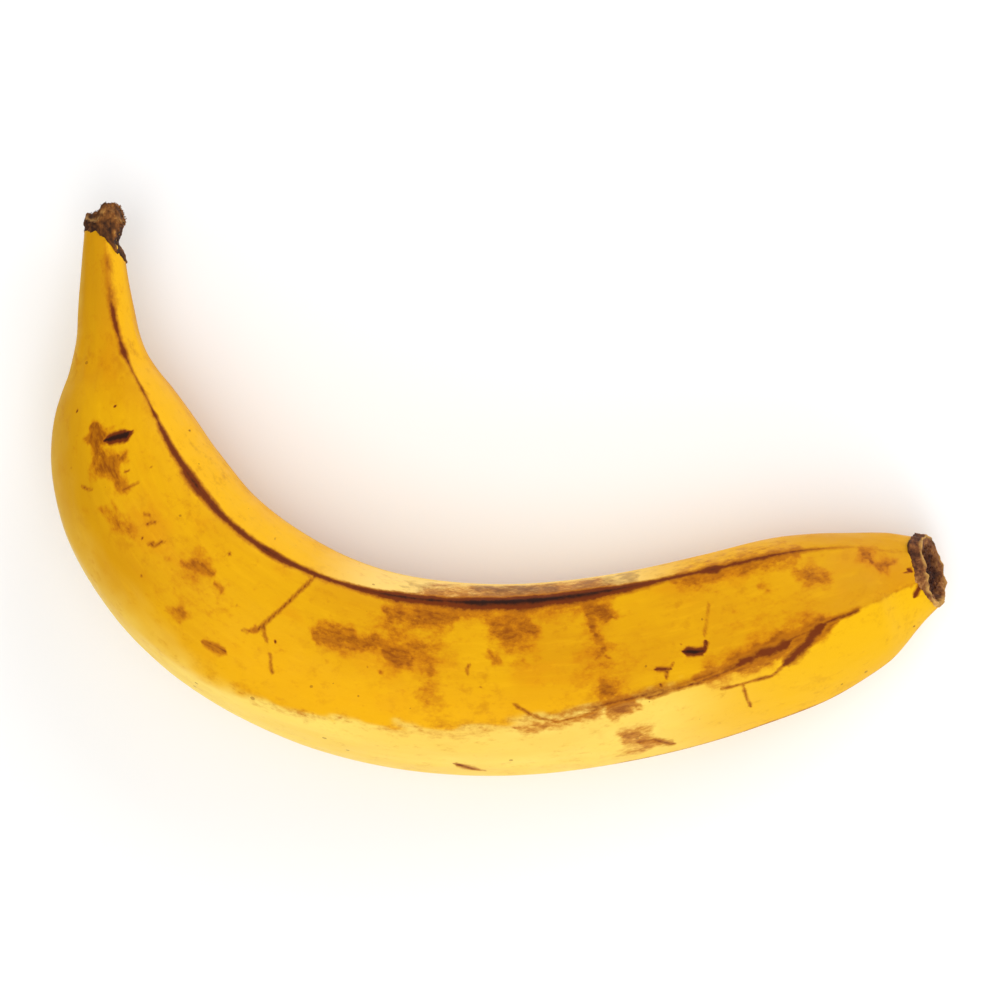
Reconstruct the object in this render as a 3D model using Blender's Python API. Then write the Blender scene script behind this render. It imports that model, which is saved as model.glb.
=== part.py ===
"""A ripe plantain lying on its side, grown as one piece from the torn stalk to the blossom scar."""

import math

import bmesh
import bpy
import numpy as np
from mathutils import Matrix, Vector

# Lengths are millimetres and angles are degrees. "Along" runs down the centre line from 0, where the
# yellow peel starts at the stalk, so the torn stub is at negative values. A section has two axes:
# "in" points to the hollow side of the bend, and "up" points out of the bend's plane.
METRES = 0.001

# Driving dimensions
STUB_END = -6.0
BODY_END = 272.6
SCAR_END = 277.0
UP_SHARE = 0.93  # height of a section across the bend's plane, as a share of its depth in it

# The centre line's heading and the section's depth at places along the fruit: (along, value)
HEADING = [(-6, -92), (8, -88.5), (25, -85), (41, -81), (55, -73.5), (75, -57), (95, -40), (123, -22.5),
           (150, -7.5), (177, 4.5), (205, 12.5), (232, 17.5), (255, 19), (280, 22)]
DEPTH = [(-6, 7.8), (-4, 8.8), (1, 8.9), (8, 10.2), (20, 13), (27, 15), (34, 19.8), (41, 27.2), (48, 33),
         (62, 40), (82, 43.7), (125, 46.3), (185, 45.7), (225, 43.2), (246, 39.6), (260, 32), (267, 26.2),
         (272.6, 20), (277, 15.8)]

# Five soft ridges run the whole length. Each is its angle round the section, from "in" towards "up".
RIDGES = [
    [(-6, 76), (20, 70), (34, 59), (60, 53), (100, 49), (150, 43), (200, 40.5), (250, 41.5), (280, 46)],
    [(-6, 160), (60, 152), (100, 134), (140, 119), (175, 111), (215, 105), (255, 94), (280, 92)],
    [(-6, 228), (60, 218), (150, 195), (240, 172), (280, 165)],
    [(-6, 290), (60, 283), (150, 262), (240, 240), (280, 235)],
    [(-6, 345), (60, 340), (150, 326), (240, 312), (280, 308)],
]
RIDGE_RISE = [(-6, 0.05), (20, 0.10), (60, 0.07), (115, 0.11), (220, 0.115), (255, 0.07), (280, 0.03)]
RIDGE_POWER = 2.2  # 1 makes the faces between ridges hollow, and more makes the ridges narrower

# The stub's side towards the neighbouring fruit dips where the two stalks tore apart
TEAR_AT = 3.6
TEAR_LENGTH = 2.6
TEAR_DEPTH = 1.3

# The blossom scar is a thin corky disc that leans back, so it faces partly up
SCAR_LIP = 0.5
SCAR_LEAN_IN = -0.13
SCAR_LEAN_UP = 0.45
LEAN_START = 258.0
STUB_LEAN_IN = 0.22

# How it lies: the tilts that bring the underside's three lowest places down together, and how far the
# ripe flesh flattens there
ROLL = -4.3
PITCH = 2.2
SETTLE = 0.6

# Fineness of the loft
FACE_COLUMNS = 8
RING_STEP = 4.4
END_STEP = 1.6


def smooth_line(points, at):
    """The height, at one place or several, of a smooth line drawn through the points."""
    places, values = np.array(points, float).T
    slopes = np.gradient(values, places)
    at = np.clip(at, places[0], places[-1])
    i = np.clip(np.searchsorted(places, at) - 1, 0, len(places) - 2)
    span = places[i + 1] - places[i]
    t = (at - places[i]) / span
    from_left = values[i] * (1 + 2 * t) * (1 - t) ** 2 + slopes[i] * span * t * (1 - t) ** 2
    from_right = values[i + 1] * t**2 * (3 - 2 * t) - slopes[i + 1] * span * t**2 * (1 - t)
    return from_left + from_right


def ease(low, high, at):
    """0 below low, 1 above high, and a smooth rise between."""
    t = np.clip((at - low) / (high - low), 0, 1)
    return t * t * (3 - 2 * t)


def centre_line():
    """Places every half millimetre along the fruit, with the point and the heading in radians at each."""
    along = np.arange(STUB_END - 3, SCAR_END + 6, 0.5)
    heading = np.radians(smooth_line(HEADING, along))
    step = np.diff(along, prepend=along[0])
    return along, np.cumsum(np.cos(heading) * step), np.cumsum(np.sin(heading) * step), heading


def ring_places():
    """(place along the fruit, share of the full section) for each ring, ends first and last."""
    stub = [(STUB_END, 0.45), (STUB_END, 0.8), (STUB_END + 0.5, 1)]
    stub += [(at, 1) for at in np.arange(STUB_END + 1.8, 12, END_STEP)]
    body_steps = round((LEAN_START - 13) / RING_STEP)
    body = [(at, 1) for at in np.linspace(13, LEAN_START, body_steps)]
    tip = [(at, 1) for at in np.arange(LEAN_START + 2.4, BODY_END - 1, 2.4)]
    scar = [(BODY_END - 0.6, 1), (BODY_END, 1), (BODY_END + 0.5, 1), (SCAR_END - 1.2, 1), (SCAR_END, 0.9)]
    return stub + body + tip + scar + [(SCAR_END - 0.9, 0.72), (SCAR_END - 1.3, 0.35)]


def section_angles(along):
    """Angles round the section, in radians, evenly spaced between one ridge and the next."""
    ridges = [math.radians(smooth_line(ridge, along)) for ridge in RIDGES]
    ridges.append(ridges[0] + 2 * math.pi)
    face = np.arange(FACE_COLUMNS) / FACE_COLUMNS
    angles = np.concatenate([a + (b - a) * face for a, b in zip(ridges, ridges[1:])])
    towards_ridge = np.tile(np.abs(2 * face - 1), len(RIDGES))
    return angles, towards_ridge


def ring(along, share, line):
    """The points of one ring, in the bend's frame."""
    angles, towards_ridge = section_angles(along)
    reach = 1 + smooth_line(RIDGE_RISE, along) * towards_ridge**RIDGE_POWER
    in_ward = reach * np.cos(angles)
    up_ward = reach * np.sin(angles) * UP_SHARE
    low, high = in_ward.min(), in_ward.max()
    size = smooth_line(DEPTH, along) / (high - low) * share
    in_ward = (in_ward - (low + high) / 2) * size
    up_ward = up_ward * size

    towards_in = np.maximum(np.cos(angles), 0) ** 2
    in_ward -= TEAR_DEPTH * math.exp(-(((along - TEAR_AT) / TEAR_LENGTH) ** 2)) * towards_in
    if BODY_END < along < SCAR_END:
        in_ward *= 1 + SCAR_LIP / size
        up_ward *= 1 + SCAR_LIP / size

    lean = ease(LEAN_START, BODY_END, along)
    stub_lean = STUB_LEAN_IN * (1 - ease(STUB_END, 4, along))
    shifted = along - lean * (SCAR_LEAN_IN * in_ward + SCAR_LEAN_UP * up_ward) - stub_lean * in_ward
    places, xs, ys, headings = line
    x, y, heading = (np.interp(shifted, places, values) for values in (xs, ys, headings))
    return np.stack([x - np.sin(heading) * in_ward, y + np.cos(heading) * in_ward, up_ward], axis=1)


def lay_down(points):
    """Tilts the fruit to its resting pose, centres it over the origin and stands it on z = 0."""
    tilt = Matrix.Rotation(math.radians(ROLL), 3, "X") @ Matrix.Rotation(math.radians(PITCH), 3, "Y")
    points = points @ np.array(tilt).T
    low, high = points.min(axis=0), points.max(axis=0)
    points -= [(low[0] + high[0]) / 2, (low[1] + high[1]) / 2, low[2] + SETTLE]
    points[:, 2] = np.maximum(points[:, 2], 0)
    return points


def loft(rings):
    """A closed mesh through rings of equal point counts, with a fan over each end."""
    mesh = bpy.data.meshes.new("plantain")
    bm = bmesh.new()
    count = len(rings[0])
    ends = [rings[0].mean(axis=0), rings[-1].mean(axis=0)]
    points = lay_down(np.concatenate(rings + [ends]))
    verts = [bm.verts.new(Vector(point) * METRES) for point in points]
    start, end = verts[-2:]
    for j in range(count):
        k = (j + 1) % count
        bm.faces.new((start, verts[k], verts[j]))
        for i in range(len(rings) - 1):
            near, far = i * count, (i + 1) * count
            bm.faces.new((verts[near + j], verts[near + k], verts[far + k], verts[far + j]))
        last = (len(rings) - 1) * count
        bm.faces.new((verts[last + j], verts[last + k], end))
    bmesh.ops.recalc_face_normals(bm, faces=bm.faces)
    bm.to_mesh(mesh)
    bm.free()
    mesh.shade_smooth()
    return mesh


def peel_material():
    """Ripe yellow peel, waxy but not glossy."""
    material = bpy.data.materials.new("ripe_peel")
    material.use_nodes = True
    surface = material.node_tree.nodes["Principled BSDF"]
    surface.inputs["Base Color"].default_value = (0.78, 0.40, 0.01, 1)
    surface.inputs["Roughness"].default_value = 0.45
    surface.inputs["Metallic"].default_value = 0
    return material


def main():
    for obj in list(bpy.data.objects):
        bpy.data.objects.remove(obj)
    collection = bpy.data.collections.new("plantain_fruit")
    bpy.context.scene.collection.children.link(collection)

    line = centre_line()
    rings = [ring(along, share, line) for along, share in ring_places()]
    plantain = bpy.data.objects.new("plantain", loft(rings))
    plantain.data.materials.append(peel_material())
    collection.objects.link(plantain)


main()
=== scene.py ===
import math

import bpy
import numpy as np
from mathutils import Matrix, Vector


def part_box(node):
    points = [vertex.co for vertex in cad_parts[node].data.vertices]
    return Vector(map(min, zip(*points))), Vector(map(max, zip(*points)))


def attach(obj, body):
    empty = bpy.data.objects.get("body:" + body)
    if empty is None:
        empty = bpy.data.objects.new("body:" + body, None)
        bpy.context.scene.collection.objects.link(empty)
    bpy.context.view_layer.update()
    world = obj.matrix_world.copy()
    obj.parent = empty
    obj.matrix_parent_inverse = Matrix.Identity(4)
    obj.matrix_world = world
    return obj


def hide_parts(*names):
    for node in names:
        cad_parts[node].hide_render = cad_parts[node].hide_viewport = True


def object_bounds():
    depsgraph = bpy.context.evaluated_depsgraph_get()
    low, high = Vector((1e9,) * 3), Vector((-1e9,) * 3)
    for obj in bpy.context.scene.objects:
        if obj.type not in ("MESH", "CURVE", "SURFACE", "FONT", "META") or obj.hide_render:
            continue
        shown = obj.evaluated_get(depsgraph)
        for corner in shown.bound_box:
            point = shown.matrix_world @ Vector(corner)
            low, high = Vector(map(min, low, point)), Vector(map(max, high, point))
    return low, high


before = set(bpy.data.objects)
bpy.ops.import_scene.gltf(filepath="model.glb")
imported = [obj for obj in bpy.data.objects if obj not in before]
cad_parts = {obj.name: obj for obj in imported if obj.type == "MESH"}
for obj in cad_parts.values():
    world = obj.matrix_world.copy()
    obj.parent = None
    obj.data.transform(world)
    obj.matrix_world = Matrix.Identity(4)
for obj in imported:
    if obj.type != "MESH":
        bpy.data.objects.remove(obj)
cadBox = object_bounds()
mm = 0.001
print("frame loaded")

# The fruit is worked out straight first: "along" runs down its middle from where the yellow peel starts at
# the stalk, "in" points to the hollow of the bend, and "up" points out of the bend's plane. All are in mm.
fruit = {
    "stubEnd": -6.0,
    "bodyEnd": 272.6,
    "scarEnd": 277.0,
    "upShare": 0.93,  # a section's height across the bend's plane, as a share of its depth in it
    # where the middle line heads in degrees, and how deep the section is, at places along
    "heading": [(-6, -92), (8, -88.5), (25, -85), (41, -81), (55, -73.5), (75, -57), (95, -40),
                (123, -22.5), (150, -7.5), (177, 4.5), (205, 12.5), (232, 17.5), (255, 19), (280, 22)],
    "depth": [(-6, 7.8), (-4, 8.8), (1, 8.9), (8, 10.2), (20, 13), (27, 15), (34, 19.8), (41, 27.2),
              (48, 33), (62, 40), (82, 43.7), (125, 46.3), (185, 45.7), (225, 43.2), (246, 39.6),
              (260, 32), (267, 26.2), (272.6, 20), (277, 15.8)],
    # the five soft ridges, each as its angle round the section from "in" towards "up"
    "ridges": [
        [(-6, 76), (20, 70), (34, 59), (60, 53), (100, 49), (150, 43), (200, 40.5), (250, 41.5), (280, 46)],
        [(-6, 160), (60, 152), (100, 134), (140, 119), (175, 111), (215, 105), (255, 94), (280, 92)],
        [(-6, 228), (60, 218), (150, 195), (240, 172), (280, 165)],
        [(-6, 290), (60, 283), (150, 262), (240, 240), (280, 235)],
        [(-6, 345), (60, 340), (150, 326), (240, 312), (280, 308)],
    ],
    "ridgeRise": [(-6, 0.05), (20, 0.10), (60, 0.07), (115, 0.11), (220, 0.115), (255, 0.07), (280, 0.03)],
    "ridgePower": 2.2,
    "ridgeSoftness": 0.03,  # how far a ridge's top is rounded, as a share of the face beside it
    "topCrowding": 0.42,  # how much closer together the skin's points stand on the side that looks up
    "leanStart": 258,  # from here on the sections turn towards the blossom scar's slant
    "scarLeanIn": -0.13,
    "scarLeanUp": 0.45,
    "stubLeanIn": 0.22,
    "roll": -4.3,
    "pitch": 2.2,
    "settle": 0.6,
}


def linear(hexColour):
    parts = [int(hexColour[i:i + 2], 16) / 255 for i in (1, 3, 5)]
    return [p / 12.92 if p <= 0.04045 else ((p + 0.055) / 1.055) ** 2.4 for p in parts] + [1]


def addNode(tree, kind, links=None, **settings):
    # settings are the node's own; links go by input name or number, to a value or to another node's output
    node = tree.nodes.new(kind)
    for name, value in settings.items():
        setattr(node, name, value)
    for key, value in (links or {}).items():
        socket = node.inputs[key]
        if isinstance(value, bpy.types.NodeSocket):
            tree.links.new(value, socket)
        elif value is not None:
            socket.default_value = value
    return node


def smoothLine(points, at):
    places, values = np.array(points, float).T
    slopes = np.gradient(values, places)
    at = np.clip(at, places[0], places[-1])
    i = np.clip(np.searchsorted(places, at) - 1, 0, len(places) - 2)
    span = places[i + 1] - places[i]
    t = (at - places[i]) / span
    left = values[i] * (1 + 2 * t) * (1 - t) ** 2 + slopes[i] * span * t * (1 - t) ** 2
    return left + values[i + 1] * t**2 * (3 - 2 * t) - slopes[i + 1] * span * t**2 * (1 - t)


def ease(low, high, at):
    t = np.clip((at - low) / (high - low), 0, 1)
    return t * t * (3 - 2 * t)


def middleLine():
    along = np.arange(fruit["stubEnd"] - 3, fruit["scarEnd"] + 6, 0.5)
    heading = np.radians(smoothLine(fruit["heading"], along))
    step = np.diff(along, prepend=along[0])
    return along, np.cumsum(np.cos(heading) * step), np.cumsum(np.sin(heading) * step), heading


lineAlong, lineX, lineY, lineHeading = middleLine()


# The loft: a Geometry Nodes tree that grows a five-ridged skin round the middle line.
def makeLoftTree():
    tree = bpy.data.node_groups.new("ridgedLoft", "GeometryNodeTree")
    face = tree.interface
    face.new_socket("Spine", in_out="INPUT", socket_type="NodeSocketGeometry")
    for name, kind in (("Columns", "Int"), ("Up Share", "Float"), ("Ridge Power", "Float"),
                       ("Ridge Softness", "Float"), ("Top Crowding", "Float"), ("Material", "Material")):
        face.new_socket(name, in_out="INPUT", socket_type="NodeSocket" + kind)
    face.new_socket("Skin", in_out="OUTPUT", socket_type="NodeSocketGeometry")
    given = addNode(tree, "NodeGroupInput").outputs

    def calc(operation, *values):
        return addNode(tree, "ShaderNodeMath", dict(enumerate(values)), operation=operation).outputs[0]

    def vector(operation, a, b):
        key = "Scale" if operation == "SCALE" else 1
        return addNode(tree, "ShaderNodeVectorMath", {0: a, key: b}, operation=operation).outputs[0]

    def read(name, kind="FLOAT"):
        node = addNode(tree, "GeometryNodeInputNamedAttribute", {"Name": name}, data_type=kind)
        return node.outputs["Attribute"]

    spine = addNode(tree, "GeometryNodeMeshToCurve", {"Mesh": given["Spine"]}).outputs[0]
    hoop = addNode(tree, "GeometryNodeCurvePrimitiveCircle", {"Resolution": given["Columns"], "Radius": mm})
    # columns stand closer together on the side that looks up, a fifth of a turn round
    turnOf = addNode(tree, "GeometryNodeSplineParameter").outputs["Factor"]
    swing = calc("SINE", calc("MULTIPLY", calc("SUBTRACT", turnOf, 0.2), 2 * math.pi))
    crowd = calc("MULTIPLY", given["Top Crowding"], -0.5 / math.pi)
    turnOf = calc("FRACT", calc("MULTIPLY_ADD", swing, crowd, turnOf))
    marked = addNode(tree, "GeometryNodeStoreNamedAttribute",
                     {"Geometry": hoop.outputs["Curve"], "Name": "turn", "Value": turnOf}, domain="POINT")
    tube = addNode(tree, "GeometryNodeCurveToMesh",
                   {"Curve": spine, "Profile Curve": marked.outputs[0], "Fill Caps": True}).outputs[0]

    # the angle round the section runs from ridge to ridge, at an even pace over each face
    faces = calc("MULTIPLY", read("turn"), 5.0)
    angle = read("ridge0")
    for i in range(5):
        past = addNode(tree, "ShaderNodeMath", {0: faces, 1: float(i)}, operation="SUBTRACT", use_clamp=True)
        gap = calc("SUBTRACT", read(f"ridge{i + 1}"), read(f"ridge{i}"))
        angle = calc("MULTIPLY_ADD", past.outputs[0], gap, angle)
    part = calc("FRACT", faces)
    away = calc("MINIMUM", part, calc("SUBTRACT", 1.0, part))
    soft = given["Ridge Softness"]
    squares = calc("ADD", calc("MULTIPLY", away, away), calc("MULTIPLY", soft, soft))
    rounded = calc("SUBTRACT", calc("SQRT", squares), soft)
    nearRidge = calc("MAXIMUM", calc("MULTIPLY_ADD", rounded, -2.0, 1.0), 0.0)
    rise = calc("MULTIPLY", read("rise"), calc("POWER", nearRidge, given["Ridge Power"]))
    reach = calc("MULTIPLY", read("size"), calc("ADD", rise, 1.0))
    inward = calc("SUBTRACT", calc("MULTIPLY", reach, calc("COSINE", angle)), read("offset"))
    upward = calc("MULTIPLY", calc("MULTIPLY", reach, calc("SINE", angle)), given["Up Share"])
    slant = calc("ADD", calc("MULTIPLY", inward, read("leanIn")), calc("MULTIPLY", upward, read("leanUp")))

    sideways = vector("SCALE", read("inDirection", "FLOAT_VECTOR"), calc("MULTIPLY", inward, mm))
    forward = vector("CROSS_PRODUCT", read("inDirection", "FLOAT_VECTOR"), (0, 0, 1))
    back = vector("SCALE", forward, calc("MULTIPLY", slant, -mm))
    lift = addNode(tree, "ShaderNodeCombineXYZ", {"Z": calc("MULTIPLY", upward, mm)}).outputs[0]
    aside = vector("ADD", read("spinePoint", "FLOAT_VECTOR"), sideways)
    point = vector("ADD", aside, vector("ADD", lift, back))
    placed = addNode(tree, "GeometryNodeSetPosition", {"Geometry": tube, "Position": point}).outputs[0]
    straight = addNode(tree, "ShaderNodeCombineXYZ",
                       {"X": calc("SUBTRACT", read("along"), slant), "Y": inward, "Z": upward}).outputs[0]
    kept = addNode(tree, "GeometryNodeStoreNamedAttribute",
                   {"Geometry": placed, "Name": "straight", "Value": straight},
                   data_type="FLOAT_VECTOR", domain="POINT").outputs[0]
    whole = addNode(tree, "GeometryNodeRealizeInstances", {"Geometry": kept}).outputs[0]
    coloured = addNode(tree, "GeometryNodeSetMaterial", {"Geometry": whole, "Material": given["Material"]})
    addNode(tree, "NodeGroupOutput", {0: coloured.outputs[0]})
    return tree


def setInputs(modifier, values):
    for item in modifier.node_group.interface.items_tree:
        if item.item_type == "SOCKET" and item.in_out == "INPUT" and item.name in values:
            modifier[item.identifier] = values[item.name]


def plainMesh(obj, modifier):
    # the evaluated result becomes the object's own mesh, and the modifier goes
    depsgraph = bpy.context.evaluated_depsgraph_get()
    made = bpy.data.meshes.new_from_object(obj.evaluated_get(depsgraph))
    obj.modifiers.remove(modifier)
    old = obj.data
    obj.data = made
    bpy.data.meshes.remove(old)
    made.name = obj.name
    return obj


def addObject(name, mesh):
    obj = bpy.data.objects.new(name, mesh)
    bpy.context.scene.collection.objects.link(obj)
    return obj


def sectionFit(along):
    # the scale that gives each section its depth, how far its middle lies from the ridges' common
    # centre, and the ridges' angles
    angles = [np.radians(smoothLine(ridge, along)) for ridge in fruit["ridges"]]
    angles.append(angles[0] + 2 * math.pi)
    face = np.linspace(0, 1, 9)[:, None]
    reach = 1 + smoothLine(fruit["ridgeRise"], along) * np.abs(2 * face - 1) ** fruit["ridgePower"]
    inward = np.concatenate([reach * np.cos(a + (b - a) * face) for a, b in zip(angles, angles[1:])])
    low, high = inward.min(axis=0), inward.max(axis=0)
    size = smoothLine(fruit["depth"], along) / (high - low)
    return size, size * (low + high) / 2, angles


def growLoft(name, tree, rings, columns, material):
    # rings is a list of (place along, share of the full section)
    along, share = np.array(rings, float).T
    heading = np.interp(along, lineAlong, lineHeading)
    middle = [np.interp(along, lineAlong, line) for line in (lineX, lineY)]
    points = np.stack([*middle, 0 * along], axis=1) * mm
    apart = np.arange(len(along))[:, None] * [0, 0, 1e-5]  # keeps rings at one place from being one point
    mesh = bpy.data.meshes.new(name)
    mesh.from_pydata(points + apart, [(i, i + 1) for i in range(len(along) - 1)], [])
    lean = ease(fruit["leanStart"], fruit["bodyEnd"], along)
    stubLean = fruit["stubLeanIn"] * (1 - ease(fruit["stubEnd"], 4, along))
    size, offset, angles = sectionFit(along)
    floats = {
        "along": along,
        "size": size * share,
        "offset": offset * share,
        "rise": smoothLine(fruit["ridgeRise"], along),
        "leanIn": lean * fruit["scarLeanIn"] + stubLean,
        "leanUp": lean * fruit["scarLeanUp"],
    }
    floats.update({f"ridge{i}": angle for i, angle in enumerate(angles)})
    for key, values in floats.items():
        mesh.attributes.new(key, "FLOAT", "POINT").data.foreach_set("value", values.astype(np.float32))
    inDirection = np.stack([-np.sin(heading), np.cos(heading), 0 * along], axis=1)
    for key, values in (("spinePoint", points), ("inDirection", inDirection)):
        field = mesh.attributes.new(key, "FLOAT_VECTOR", "POINT")
        field.data.foreach_set("vector", values.astype(np.float32).ravel())
    obj = addObject(name, mesh)
    modifier = obj.modifiers.new("loft", "NODES")
    modifier.node_group = tree
    setInputs(modifier, {"Columns": columns, "Up Share": fruit["upShare"], "Material": material,
                         "Ridge Power": fruit["ridgePower"], "Ridge Softness": fruit["ridgeSoftness"],
                         "Top Crowding": fruit["topCrowding"]})
    return plainMesh(obj, modifier)


def readPoints(mesh, name=None):
    out = np.zeros(len(mesh.vertices) * 3, np.float32)
    if name is None:
        mesh.vertices.foreach_get("co", out)
    else:
        mesh.attributes[name].data.foreach_get("vector", out)
    return out.reshape(-1, 3).astype(float)


# Soft random fields and painted marks, both in the straightened fruit's own millimetres.
def lumps(points, size, seed):
    # a smooth random field from -1 to 1, with a bump about every size mm; size may differ by axis
    table = np.random.default_rng(seed).random(8192) * 2 - 1
    cell = points / size + 500
    low = np.floor(cell).astype(int)
    t = cell - low
    t = t * t * (3 - 2 * t)
    total = np.zeros(len(points))
    for corner in np.ndindex(2, 2, 2):
        weight = np.prod(np.where(corner, t, 1 - t), axis=1)
        total += weight * table[(low + corner) @ (1, 157, 2753) % 8192]
    return total


def bend(straight):
    # from the straightened fruit to the curved one, still in mm
    heading = np.interp(straight[:, 0], lineAlong, lineHeading)
    x = np.interp(straight[:, 0], lineAlong, lineX) - np.sin(heading) * straight[:, 1]
    y = np.interp(straight[:, 0], lineAlong, lineY) + np.cos(heading) * straight[:, 1]
    return np.stack([x, y, straight[:, 2]], axis=1)


restTilt = (Matrix.Rotation(math.radians(fruit["roll"]), 3, "X")
            @ Matrix.Rotation(math.radians(fruit["pitch"]), 3, "Y"))


def makeBitsTree():
    # scatters small bits, stubs of fibre or crumbs, over the part of a skin that its "bits" field marks
    tree = bpy.data.node_groups.new("scatteredBits", "GeometryNodeTree")
    face = tree.interface
    face.new_socket("Skin", in_out="INPUT", socket_type="NodeSocketGeometry")
    for name, kind in (("Density", "Float"), ("Width", "Float"), ("Length", "Float"), ("Stray", "Float"),
                       ("Seed", "Int"), ("Material", "Material")):
        face.new_socket(name, in_out="INPUT", socket_type="NodeSocket" + kind)
    face.new_socket("Covered", in_out="OUTPUT", socket_type="NodeSocketGeometry")
    given = addNode(tree, "NodeGroupInput").outputs
    marked = addNode(tree, "GeometryNodeInputNamedAttribute", {"Name": "bits"}).outputs["Attribute"]
    density = addNode(tree, "ShaderNodeMath", {0: marked, 1: given["Density"]}, operation="MULTIPLY")
    spots = addNode(tree, "GeometryNodeDistributePointsOnFaces",
                    {"Mesh": given["Skin"], "Density": density.outputs[0], "Seed": given["Seed"]}).outputs
    stray = addNode(tree, "FunctionNodeRandomValue",
                    {"Min": (-1, -1, -1), "Max": (1, 1, 1), "Seed": given["Seed"]},
                    data_type="FLOAT_VECTOR").outputs["Value"]
    away = addNode(tree, "ShaderNodeVectorMath", {0: stray, "Scale": given["Stray"]}, operation="SCALE")
    lean = addNode(tree, "ShaderNodeVectorMath", {0: spots["Normal"], 1: away.outputs[0]}).outputs[0]
    turned = addNode(tree, "FunctionNodeAlignRotationToVector", {"Vector": lean}, axis="Z").outputs[0]
    shape = addNode(tree, "ShaderNodeCombineXYZ",
                    {"X": given["Width"], "Y": given["Width"], "Z": given["Length"]}).outputs[0]
    vary = addNode(tree, "FunctionNodeRandomValue", {"Min": 0.5, "Max": 1.3, "Seed": given["Seed"]})
    varied = next(socket for socket in vary.outputs if socket.enabled)
    scale = addNode(tree, "ShaderNodeVectorMath", {0: shape, "Scale": varied}, operation="SCALE").outputs[0]
    bit = addNode(tree, "GeometryNodeMeshIcoSphere", {"Radius": 1.0, "Subdivisions": 1}).outputs["Mesh"]
    placed = addNode(tree, "GeometryNodeInstanceOnPoints",
                     {"Points": spots["Points"], "Instance": bit, "Rotation": turned,
                      "Scale": scale}).outputs[0]
    both = addNode(tree, "GeometryNodeJoinGeometry", {0: placed})
    tree.links.new(given["Skin"], both.inputs[0])
    whole = addNode(tree, "GeometryNodeRealizeInstances", {"Geometry": both.outputs[0]}).outputs[0]
    coloured = addNode(tree, "GeometryNodeSetMaterial", {"Geometry": whole, "Material": given["Material"]})
    addNode(tree, "NodeGroupOutput", {0: coloured.outputs[0]})
    return tree


def addBits(obj, values):
    modifier = obj.modifiers.new("bits", "NODES")
    modifier.node_group = bitsTree
    setInputs(modifier, {**values, "Material": obj.data.materials[0]})
    return plainMesh(obj, modifier)


def restShift(tree):
    # how far the tilted fruit moves to stand in the solid's own box, read off a plain loft of full length
    places = np.linspace(fruit["stubEnd"], fruit["scarEnd"], 160)
    outline = growLoft("outline", tree, [(a, 1) for a in places], 60, None)
    points = readPoints(outline.data) / mm @ np.array(restTilt).T
    bpy.data.meshes.remove(outline.data)
    low, high = (np.array(corner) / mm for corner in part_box("plantain"))
    middle = (low + high) / 2 - (points.min(0) + points.max(0)) / 2
    return np.array([middle[0], middle[1], low[2] - points[:, 2].min() - fruit["settle"]])


def layDown(obj, straight):
    # bends a piece's straightened points, tips them to the resting tilt and settles them on the surface
    points = bend(straight) @ np.array(restTilt).T + shift
    points[:, 2] = np.maximum(points[:, 2], 0)
    obj.data.vertices.foreach_set("co", (points * mm).astype(np.float32).ravel())
    obj.data.attributes["straight"].data.foreach_set("vector", straight.astype(np.float32).ravel())
    obj.data.update()
    obj.data.shade_smooth()


def storeField(mesh, name, values):
    field = mesh.attributes.get(name) or mesh.attributes.new(name, "FLOAT", "POINT")
    field.data.foreach_set("value", np.asarray(values, np.float32))


def strokeField(straight, strokes, ragged=0.0, seed=0):
    # a stroke is full on its line, half at its half width and nothing at twice that; it narrows to both
    # ends, and fades out low on the fruit's sides
    wobble = np.stack([lumps(straight, 2.2, seed), lumps(straight, 2.2, seed + 1)], axis=1)
    wobble += 0.5 * np.stack([lumps(straight, 0.9, seed + 2), lumps(straight, 0.9, seed + 3)], axis=1)
    field = np.zeros(len(straight))
    for halfWidth, strength, line in strokes:
        line = np.array(line, float)
        margin = 2 * halfWidth + 1
        inBox = (straight[:, :2] > line.min(0) - margin) & (straight[:, :2] < line.max(0) + margin)
        near = (straight[:, 2] > 0) & np.all(inBox, axis=1)
        places = straight[near, :2] + ragged * min(halfWidth, 1.6) * wobble[near]
        lengths = np.linalg.norm(np.diff(line, axis=0), axis=1)
        total = lengths.sum()
        gap = np.full(len(places), 1e9)
        place = np.zeros(len(places))
        for i, run in enumerate(np.diff(line, axis=0)):
            t = np.clip(((places - line[i]) @ run) / (run @ run), 0, 1)
            away = np.linalg.norm(places - line[i] - t[:, None] * run, axis=1)
            place = np.where(away < gap, (lengths[:i].sum() + t * lengths[i]) / total, place)
            gap = np.minimum(gap, away)
        ends = np.minimum(place, 1 - place) * total / halfWidth
        width = 2 * halfWidth * (0.35 + 0.65 * ease(0, 1, ends))
        fade = strength * ease(0, 6, straight[near, 2])
        field[near] = np.maximum(field[near], fade * np.clip(1 - gap / width, 0, 1))
    return field


peel = {
    "end": 276.2,
    # rings stand closer together near both ends: (from, to, how many)
    "runs": [(0.7, 12, 36), (12, 262, 470), (262, 276.2, 34)],
    "columns": 180,
    "lumpHeight": 0.26,  # the slow swells that keep the skin from looking turned on a lathe
    "lumpSize": 26,
    "fluteHeight": 0.06,  # fine lengthwise flutes
    "neckWrinkle": 0.2,
    "tearAt": 3.6,  # the dip where the next fruit's stalk was torn away
    "tearLength": 2.6,
    "tearDepth": 1.3,
    "markSink": 0.14,  # how far scars and ridge lines sink
    "rustSink": 0.04,
    "rustSpread": 1.3,  # each rusty bruise's width and strength, against its entry in the list
    "rustStrength": 1.22,
    "ridgeLineSpread": 1.3,
}

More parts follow.
